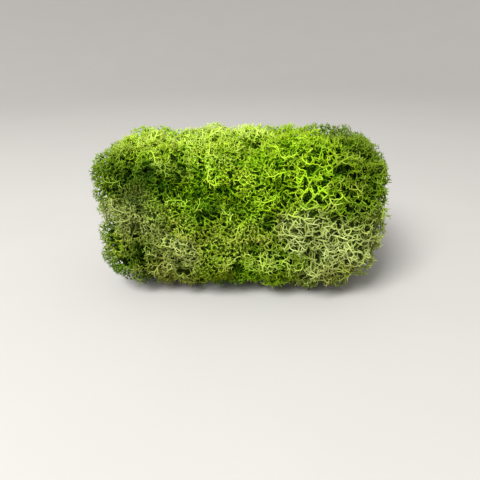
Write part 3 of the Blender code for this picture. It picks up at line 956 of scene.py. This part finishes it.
def add_long_branch(lichen, tuft, clusters, ways, radius, habit, draw):
    """A branch that comes up from below and lies over the others, with forked twigs on both sides.

    It follows the surface along the given ways. Twigs leave it on one side and then the other, about as far
    apart as the head's tips or a little further, and lean forwards and up. Each ends in arms, as does the
    branch.
    """
    lift = np.interp(np.linspace(0, 1, len(ways)), *LONG_LIFTS)
    path = winding(tuft.root + ways * (clusters.dome(ways) + lift)[:, None], 5)
    along = np.concatenate([[0], np.cumsum(np.linalg.norm(np.diff(path, axis=0), axis=1))])
    path = path + lump_field(draw, 5, LONG_LUMP)(path)[:, None] * unit(draw.normal(size=3)) * LONG_SHIFT
    radii = radius * np.interp(along / along[-1], *LONG_RADII)
    ages = np.interp(along / along[-1], *LONG_AGES_AND_SHADE)
    shade = draw.uniform(0.5, 1)
    lichen.add_tubes(path[None], radii[None], ages[None], np.array([shade]), habit.sides + 1, False)
    stations = np.arange(0.0022, along[-1] - 0.0008, max(habit.tip_spacing, TWIG_SPACING))
    stations = stations + draw.uniform(-0.0007, 0.0007, len(stations))
    bases = np.stack([np.interp(stations, along, path[:, i]) for i in range(3)], axis=1)
    further = np.stack([np.interp(stations + 0.001, along, path[:, i]) for i in range(3)], axis=1)
    ahead = unit(further - bases)
    up = unit(bases - tuft.root)
    across = unit(np.cross(ahead, up)) * np.where(np.arange(len(bases)) % 2, 1, -1)[:, None]
    heading = unit(0.55 * ahead + across * draw.uniform(0.7, 1.1, (len(bases), 1)) + 0.12 * up)
    length = habit.tip_spacing * draw.uniform(0.8, 1.4, (len(bases), 1))
    tips = bases + heading * length
    arriving = heading + ahead * draw.uniform(-0.3, 1.2, (len(bases), 1))
    twigs = curves(bases, tips, heading + 0.8 * across, arriving, 5, 0.45)
    twig_radii = np.full((len(bases), 1), habit.tip_radius) * np.linspace(1.35, 1.0, 5)
    twig_ages_and_shade = np.full((len(bases), 5), 0.10)
    lichen.add_tubes(twigs, twig_radii, twig_ages_and_shade, np.full(len(bases), shade), habit.sides, False)
    ends = np.vstack([tips, path[-1:]])
    ways_out = np.vstack([unit(arriving), unit(path[-1:] - path[-2:-1])])
    arms = arm_paths(ends, ways_out, min(habit.arms, 3), habit.arm_length, True, draw)
    arm_radii = np.full((len(arms), 1), habit.tip_radius) * np.array([1.0, 0.8, 0.0])
    arm_ages_and_shade = np.full((len(arms), 1), 0.10) * np.array([1.0, 0.3, 0.0])
    lichen.add_tubes(arms, arm_radii, arm_ages_and_shade, np.full(len(arms), shade), 3, True)


def add_long_branches(lichen, tuft, tufts, clusters, habit, draw):
    """The long branches whose middles lie on this tuft, and some more at random places."""
    for radius, *corners in LONG_BRANCHES:
        places = np.array([on_block(*corner) for corner in corners])
        middle = places[len(places) // 2]
        nearest = min(tufts, key=lambda other: np.linalg.norm(middle - other.root) - other.radius)
        if nearest is tuft:
            add_long_branch(lichen, tuft, clusters, unit(places - tuft.root), radius / 1000, habit, draw)
    for _ in range(habit.long_branches):
        ways = drawn_ways(tuft, draw.integers(3, 6), draw)
        add_long_branch(lichen, tuft, clusters, ways, habit.tip_radius * 1.55, habit, draw)


def dye_and_light_colours(moss, slot):
    """The slot's colours as linear RGB, from its newest tips to its oldest growth, with painted shade."""
    return np.array([getattr(moss.dyes, f"{slot}_{age}") for age in AGE_AND_SHADE_STOPS])


def tint_and_light_turn(points, tuft, tufts, moss):
    """How the tuft's colour turns into its neighbours' and into the patches' near them, as a factor for red,
    green and blue. Some patches are painted shade, and some a painted haze.

    Formula: the mean of the tufts' outer colours, with weights exp(-D_k / blend), and of the patches' with
    weights w exp(-(d_j / r_j)^2), over this tuft's own. D_k is the distance outside head k, and d_j that
    from patch j. The points are first shifted by a smooth field, so the edges are ragged.
    """
    fields = [lump_field(np.random.default_rng([moss.seed, axis]), 6, DRIFT_LUMP) for axis in range(3)]
    shifted = points + np.stack([field(points) for field in fields], axis=-1) * DRIFT_SHIFT
    roots = np.array([other.root for other in tufts])
    reaches = np.array([other.radius for other in tufts])
    apart = ((shifted[:, None] - roots) ** 2).sum(axis=2) - reaches**2
    outside = apart / (2 * reaches)
    weights = np.exp((outside.min(axis=1, keepdims=True) - outside) / moss.blend)
    weights /= weights.sum(axis=1, keepdims=True)
    # The patches: painted shade in hollows and low down, and a painted haze in places.
    patches = [(slot, *patch) for slot, group in PATCHES.items() for patch in group]
    places = np.array([on_block(across, around) for _, across, around, _ in patches])
    radii = np.array([radius for *_, radius in patches]) / 1000
    apart = np.linalg.norm(shifted[:, None] - places, axis=2)
    weights = np.hstack([weights, PATCH_WEIGHT * np.exp(-((apart / radii) ** 2))])
    slots = [SLOTS[other.name] for other in tufts] + [slot for slot, *_ in patches]
    colours = {slot: dye_and_light_colours(moss, slot)[:2].mean(axis=0) for slot in TINTS_AND_LIGHT}
    mean = weights @ np.array([colours[slot] for slot in slots]) / weights.sum(axis=1, keepdims=True)
    return np.clip(mean / colours[SLOTS[tuft.name]], *TURN_RANGE)


class Forks:
    """The forks of one tuft: where they are, which joins which, how thick each is, its age with painted
    shade, and how light it is.
    """

    def __init__(self, tuft, clusters, habit, moss, draw):
        self.points, self.depths = fork_points(tuft, habit, moss, clusters.dome, draw)
        side = unit(np.cross(tuft.facing, draw.normal(size=3)))
        origin = tuft.root + tuft.radius * habit.sideways * (side + tuft.facing * 0.4)
        self.out = clusters.outward(self.points, self.depths, origin)
        self.parents = grow_tree(self.points, self.depths, origin, self.out, habit, draw)
        self.grown = self.parents >= 0
        self.ends = ~np.isin(np.arange(len(self.points)), self.parents)
        order = generations(self.parents)
        self.radii = branch_radii(self.parents, order, habit.tip_radius, habit.stem_radius)
        self.starts = np.where(self.grown[:, None], self.points[self.parents], self.points - self.out * STUB)
        headings = unit(self.points - self.starts)
        from_parent = np.where(self.grown[:, None], headings[self.parents], headings)
        self.leaving = unit(headings + 0.8 * from_parent)
        self.arriving = unit(headings + 0.35 * self.out + draw.normal(0, habit.wind, self.points.shape))
        self.ages = self.age(tuft, clusters, moss)
        which, _ = clusters.nearest(self.points)
        shades = draw.uniform(0, 1, len(self.points))
        self.shades = 0.6 * shades + 0.4 * draw.uniform(0, 1, len(clusters.ways))[which]

    def age(self, tuft, clusters, moss):
        """How old each fork is, with painted shade: darker by its depth, and darker still as painted shade in
        the hollows and pits and near the ground.
        """
        ways = unit(self.points - tuft.root)
        # Painted shade: the depth of the hollow or pit over a fork darkens its colour.
        sunk = clusters.sunk(tuft.root + ways * tuft.head(ways)[:, None])
        # Painted shade: growth near the ground is coloured as if it lay deeper.
        low = moss.ground_shade * np.clip(1 - self.points[:, 2] / moss.ground_reach, 0, 1)
        return np.clip((self.depths + moss.hollow_shade * sunk + low) / moss.old_depth, 0, 1)


def add_branches(lichen, forks, habit):
    """The branches of the tree: plain ones deep down, thick ones near the surface, and fine ones.

    At the share t of its length a branch's radius is a + (b - a) t^0.7, from a at its start to b at its end.
    """
    radii, ages = forks.radii, forks.ages
    below = np.where(forks.grown, np.minimum(radii[forks.parents], radii * 1.5), radii * 1.2)
    below_ages_and_shade = np.where(forks.grown, ages[forks.parents], ages)
    buried = forks.depths > SHALLOW
    thick = ~buried & (radii > habit.tip_radius * 1.5)
    kinds = ((buried, 2, 3), (thick, 4, habit.sides + 1), (~buried & ~thick, habit.rings, habit.sides))
    for group, rings, sides in kinds:
        t = np.linspace(0, 1, rings)
        ways = forks.leaving[group], forks.arriving[group]
        paths = curves(forks.starts[group], forks.points[group], *ways, rings, 1 / 3 + habit.wind / 2)
        tube_radii = below[group, None] + (radii - below)[group, None] * t**0.7
        tube_ages_and_shade = below_ages_and_shade[group, None] + (ages - below_ages_and_shade)[group, None] * t
        lichen.add_tubes(paths, tube_radii, tube_ages_and_shade, forks.shades[group], sides, False)


def add_arms(lichen, forks, habit, draw):
    """Stars of arms at the ends of the branches, and shorter spurs at the forks near the surface."""
    taper = np.array([1.0, 0.8, 0.0]) if habit.blunt else np.array([1.0, 0.0])
    fade = np.array([1.0, 0.4, 0.3]) if habit.blunt else np.array([1.0, 0.3])
    ends = forks.ends
    ways = unit(forks.arriving + 0.5 * forks.out)[ends]
    arms = arm_paths(forks.points[ends], ways, habit.arms, habit.arm_length, habit.blunt, draw)
    radii = np.repeat(forks.radii[ends], habit.arms)[:, None] * taper
    ages = np.repeat(forks.ages[ends], habit.arms)[:, None] * fade
    lichen.add_tubes(arms, radii, ages, np.repeat(forks.shades[ends], habit.arms), 3, True)
    near = ~ends & (forks.depths < SHALLOW)
    count, length = habit.arms // 2, habit.arm_length * 0.8
    spurs = arm_paths(forks.points[near], forks.arriving[near], count, length, habit.blunt, draw)
    radii = np.full((len(spurs), 1), habit.tip_radius) * taper
    ages = np.repeat(forks.ages[near], count)[:, None] * (0.5 + 0.5 * fade)
    lichen.add_tubes(spurs, radii, ages, np.repeat(forks.shades[near], count), 3, True)


def add_net(lichen, forks, habit, draw):
    """The net of winding branches between neighbouring forks near the surface.

    Each leaves one fork and comes to the other at up to 48 degrees to one side of the straight way, and a
    little above it.
    """
    shallow = forks.depths < 1.6 * habit.arm_length
    one, other = net_pairs(forks.points, forks.parents, shallow, habit.net_reach, draw)
    ahead = unit(forks.points[other] - forks.points[one])
    aside = np.cross(forks.out[one], ahead)
    leaving = ahead + aside * draw.uniform(-1.1, 1.1, (len(one), 1)) + 0.3 * forks.out[one]
    arriving = ahead + aside * draw.uniform(-1.1, 1.1, (len(one), 1)) - 0.3 * forks.out[one]
    rings = habit.sides + 1
    paths = curves(forks.points[one], forks.points[other], leaving, arriving, rings, 0.5)
    radii = np.full((len(one), rings), habit.tip_radius * 1.15)
    ages = np.linspace(forks.ages[one], forks.ages[other], rings, axis=1)
    lichen.add_tubes(paths, radii, ages, forks.shades[one], max(habit.sides - 1, 3), False)


def grow_tuft(tuft, tufts, habit, moss, material):
    """One tuft's piece: its tree of branches with their arms, its net, its long branches and its body."""
    draw = np.random.default_rng([moss.seed, *tuft.name.encode()])
    clusters = Clusters(tuft, moss, draw)
    forks = Forks(tuft, clusters, habit, moss, draw)
    lichen = Lichen()
    add_branches(lichen, forks, habit)
    add_arms(lichen, forks, habit, draw)
    if habit.net_reach:
        add_net(lichen, forks, habit, draw)
    add_long_branches(lichen, tuft, tufts, clusters, habit, draw)
    add_body(lichen, tuft, clusters.dome, moss, draw)
    turn = tint_and_light_turn(np.vstack(lichen.points), tuft, tufts, moss)
    return lichen.make(f"lichen_{tuft.name}", material, turn)


def add_node(tree, kind, settings=(), inputs=()):
    """Adds a node, sets its properties, and gives its inputs values or links them to other outputs."""
    node = tree.nodes.new(kind)
    for name, value in dict(settings).items():
        setattr(node, name, value)
    for name, value in dict(inputs).items():
        if isinstance(value, bpy.types.NodeSocket):
            tree.links.new(value, node.inputs[name])
        else:
            node.inputs[name].default_value = value
    return node


def attribute(tree, name, output="Fac"):
    """One of the attributes that a piece's points have."""
    return add_node(tree, "ShaderNodeAttribute", {"attribute_name": name}).outputs[output]


def noise(tree, place, scale, detail):
    """A noise texture's value at a place, about 0 to 1."""
    inputs = {"Vector": place, "Scale": scale, "Detail": detail}
    return add_node(tree, "ShaderNodeTexNoise", inputs=inputs).outputs["Fac"]


def ranged(tree, value, low, high, start=0.0, end=1.0):
    """A value from low to high, as the given one runs from start to end."""
    inputs = {"Value": value, "From Min": start, "From Max": end, "To Min": low, "To Max": high}
    return add_node(tree, "ShaderNodeMapRange", inputs=inputs).outputs["Result"]


def maths(tree, operation, one, other):
    """The result of an operation on two values."""
    return add_node(tree, "ShaderNodeMath", {"operation": operation}, {0: one, 1: other}).outputs["Value"]


def lichen_material(slot, moss):
    """Preserved, dyed reindeer lichen.

    Its skin is a felt of fine threads, so it is matt and has next to no highlight. The colour runs from pale
    new tips to dark deep growth, partly as older growth and partly as painted shade, and the dark body, whose
    colour is painted shade, is mottled with the old branches that crowd there. Some branches are yellower
    than others, and the dye took unevenly in patches.
    """
    material = bpy.data.materials.get(f"preserved_{slot}")
    if material:
        return material
    material = bpy.data.materials.new(f"preserved_{slot}")
    material.use_nodes = True
    tree = material.node_tree
    shader = tree.nodes["Principled BSDF"]
    shader.inputs["Specular IOR Level"].default_value = 0.03
    place = add_node(tree, "ShaderNodeTexCoord").outputs["Object"]
    age, shade = attribute(tree, "age"), attribute(tree, "shade")
    # The colour ramp runs by age with painted shade, and the dark body's painted shade is mottled lighter.
    younger = ranged(tree, noise(tree, place, 1 / moss.crowding, 1.0), 0.0, 0.55, 0.42, 0.66)
    body = maths(tree, "GREATER_THAN", age, (1 + BODY_AGE_AND_SHADE) / 2)
    mottled = maths(tree, "SUBTRACT", age, maths(tree, "MULTIPLY", younger, body))
    ramp = add_node(tree, "ShaderNodeValToRGB", inputs={"Fac": mottled})
    tip, young, old, inner = ((*colour, 1.0) for colour in dye_and_light_colours(moss, slot))
    stops = ramp.color_ramp.elements
    stops[0].position, stops[0].color = 0.0, tip
    stops[1].position, stops[1].color = 1.0, inner
    for position, colour in ((0.20, young), (0.60, old)):
        stops.new(position).color = colour
    turned = add_node(
        tree, "ShaderNodeVectorMath", {"operation": "MULTIPLY"},
        {0: ramp.outputs["Color"], 1: attribute(tree, "turn", "Vector")},
    ).outputs["Vector"]
    uneven = ranged(tree, noise(tree, place, 1 / moss.patch, 2.0), 0.72, 1.12, 0.35, 0.65)
    value = maths(tree, "MULTIPLY", uneven, ranged(tree, shade, 0.78, 1.15))
    hue = ranged(tree, shade, 0.485, 0.508)
    colour = add_node(
        tree, "ShaderNodeHueSaturation", inputs={"Color": turned, "Value": value, "Hue": hue}
    ).outputs["Color"]
    grain = noise(tree, place, 1 / moss.grain, 1.0)
    bump = add_node(
        tree, "ShaderNodeBump", inputs={"Height": grain, "Strength": 0.35, "Distance": 0.0001}
    ).outputs["Normal"]
    tree.links.new(colour, shader.inputs["Base Color"])
    tree.links.new(ranged(tree, grain, 0.70, 0.95), shader.inputs["Roughness"])
    tree.links.new(bump, shader.inputs["Normal"])
    return material


def grow_habit(context, habit):
    """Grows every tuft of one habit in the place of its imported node."""
    moss = context.scene.moss
    tufts = [Tuft(name, *place) for name, place in tuft_places().items()]
    for tuft in tufts:
        tuft.wall_off(tufts)
        if tuft.habit != habit:
            continue
        low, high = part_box(tuft.name)
        if not all(a - ROOT_MARGIN < r < b + ROOT_MARGIN for a, r, b in zip(low, tuft.root, high)):
            raise RuntimeError(f"{tuft.name} does not grow from inside its packed node")
        material = lichen_material(SLOTS[tuft.name], moss)
        piece = grow_tuft(tuft, tufts, getattr(moss, habit), moss, material)
        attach(piece, "root")
        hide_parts(tuft.name)


class MOSS_OT_grow_bushy(bpy.types.Operator):
    """Grow the dense tufts, whose twigs point straight outwards"""

    bl_idname = "moss.grow_bushy"
    bl_label = "Grow Bushy Tufts"
    bl_options = {"REGISTER", "UNDO"}

    def execute(self, context):
        grow_habit(context, "bushy")
        return {"FINISHED"}


class MOSS_OT_grow_loose(bpy.types.Operator):
    """Grow the looser tufts, whose branches lean to one side and are joined by a narrow net"""

    bl_idname = "moss.grow_loose"
    bl_label = "Grow Loose Tufts"
    bl_options = {"REGISTER", "UNDO"}

    def execute(self, context):
        grow_habit(context, "loose")
        return {"FINISHED"}


class MOSS_OT_grow_open(bpy.types.Operator):
    """Grow the open tufts, which show a wide net of thick branches from the side"""

    bl_idname = "moss.grow_open"
    bl_label = "Grow Open Tufts"
    bl_options = {"REGISTER", "UNDO"}

    def execute(self, context):
        grow_habit(context, "open")
        return {"FINISHED"}


def floor_material(colour):
    """Matt seamless paper: an even pale sheet, with a faint unevenness a few centimetres across."""
    material = bpy.data.materials.new("matt_paper")
    material.use_nodes = True
    tree = material.node_tree
    shader = tree.nodes["Principled BSDF"]
    shader.inputs["Specular IOR Level"].default_value = 0.2
    place = add_node(tree, "ShaderNodeTexCoord").outputs["Object"]
    value = ranged(tree, noise(tree, place, 12.0, 2.0), 0.98, 1.02)
    tinted = add_node(
        tree, "ShaderNodeHueSaturation", inputs={"Color": (*colour, 1), "Value": value}
    ).outputs["Color"]
    tree.links.new(tinted, shader.inputs["Base Color"])
    shader.inputs["Roughness"].default_value = 0.9
    return material


def add_floor(colour):
    """The floor: a sheet whose middle is flat and which curves up all round, so that no horizon shows.

    Formula: point (i, j) is (r_i cos a_j, r_i sin a_j, c (r_i - f)^2), where c is the curve and f the flat
    middle's radius, within which the height is 0.
    """
    rings, turns = 24, 64
    reach = np.linspace(0.001, FLOOR_RADIUS, rings)[:, None]
    angle = np.arange(turns) * math.tau / turns
    rise = FLOOR_CURVE * np.maximum(reach - FLOOR_FLAT_RADIUS, 0) ** 2 + np.zeros((rings, turns))
    points = np.stack([reach * np.cos(angle), reach * np.sin(angle), rise], axis=-1)
    index = np.arange(rings * turns).reshape(rings, turns)
    after = np.roll(index, -1, axis=1)
    quads = np.stack([index[:-1], index[1:], after[1:], after[:-1]], axis=-1).reshape(-1, 4)
    mesh = bpy.data.meshes.new("floor")
    mesh.from_pydata(points.reshape(-1, 3).tolist(), [], [*quads.tolist(), index[0].tolist()])
    mesh.materials.append(floor_material(colour))
    mesh.shade_smooth()
    floor = bpy.data.objects.new("floor", mesh)
    bpy.context.scene.collection.objects.link(floor)


def add_area_light(name, place, target, size, power):
    """A square soft light at a place, turned towards its target."""
    data = bpy.data.lights.new(name, "AREA")
    data.shape = "SQUARE"
    data.size = size
    data.energy = power
    light = bpy.data.objects.new(name, data)
    light.location = place
    light.rotation_euler = (Vector(target) - Vector(place)).to_track_quat("-Z", "Y").to_euler()
    bpy.context.scene.collection.objects.link(light)


class MOSS_OT_build_stage(bpy.types.Operator):
    """Build the floor, the soft studio light and the camera"""

    bl_idname = "moss.build_stage"
    bl_label = "Build Stage"
    bl_options = {"REGISTER", "UNDO"}

    def execute(self, context):
        scene = context.scene
        stage = scene.moss_stage
        if stage.use_floor:
            add_floor(stage.floor_colour)
        add_area_light("key", KEY_PLACE, KEY_TARGET, KEY_WIDTH, stage.key_power)
        world = bpy.data.worlds.new("studio")
        world.use_nodes = True
        background = world.node_tree.nodes["Background"]
        background.inputs["Color"].default_value = STUDIO_COLOUR
        background.inputs["Strength"].default_value = stage.fill_strength
        scene.world = world
        scene.view_settings.view_transform = "Standard"
        data = bpy.data.cameras.new("camera")
        data.sensor_width = SENSOR_WIDTH
        data.lens = LENS
        camera = bpy.data.objects.new("camera", data)
        right, up = Vector(CAMERA_RIGHT), Vector(CAMERA_UP)
        camera.matrix_world = Matrix((right, up, right.cross(up))).transposed().to_4x4()
        camera.location = CAMERA_PLACE
        scene.collection.objects.link(camera)
        scene.camera = camera
        return {"FINISHED"}


class MOSS_PT_sidebar(bpy.types.Panel):
    """Lists what the clump is made of, with its sizes and colours"""

    bl_idname = "MOSS_PT_sidebar"
    bl_label = "Reindeer Moss Clump"
    bl_space_type = "VIEW_3D"
    bl_region_type = "UI"
    bl_category = "Moss"

    def draw(self, context):
        layout = self.layout
        moss = context.scene.moss
        for habit in HABITS:
            box = layout.box()
            box.operator(f"moss.grow_{habit}")
            for name in getattr(moss, habit).__annotations__:
                box.prop(getattr(moss, habit), name)
        box = layout.box()
        for name in DyeAndLightSettings.__annotations__:
            box.prop(moss.dyes, name)
        for name in MossSettings.__annotations__:
            if name not in (*HABITS, "dyes"):
                layout.prop(moss, name)
        layout.operator("moss.build_stage")
        for name in StageSettings.__annotations__:
            layout.prop(context.scene.moss_stage, name)


CLASSES = (
    BushyHabit,
    LooseHabit,
    OpenHabit,
    DyeAndLightSettings,
    MossSettings,
    StageSettings,
    MOSS_OT_grow_bushy,
    MOSS_OT_grow_loose,
    MOSS_OT_grow_open,
    MOSS_OT_build_stage,
    MOSS_PT_sidebar,
)


def register():
    for cls in CLASSES:
        bpy.utils.register_class(cls)
    bpy.types.Scene.moss = PointerProperty(type=MossSettings)
    bpy.types.Scene.moss_stage = PointerProperty(type=StageSettings)


def unregister():
    del bpy.types.Scene.moss_stage
    del bpy.types.Scene.moss
    for cls in reversed(CLASSES):
        bpy.utils.unregister_class(cls)


def main():
    register()
    bpy.ops.moss.build_stage()
    bpy.ops.moss.grow_bushy()
    bpy.ops.moss.grow_loose()
    bpy.ops.moss.grow_open()


if __name__ == "__main__":
    main()
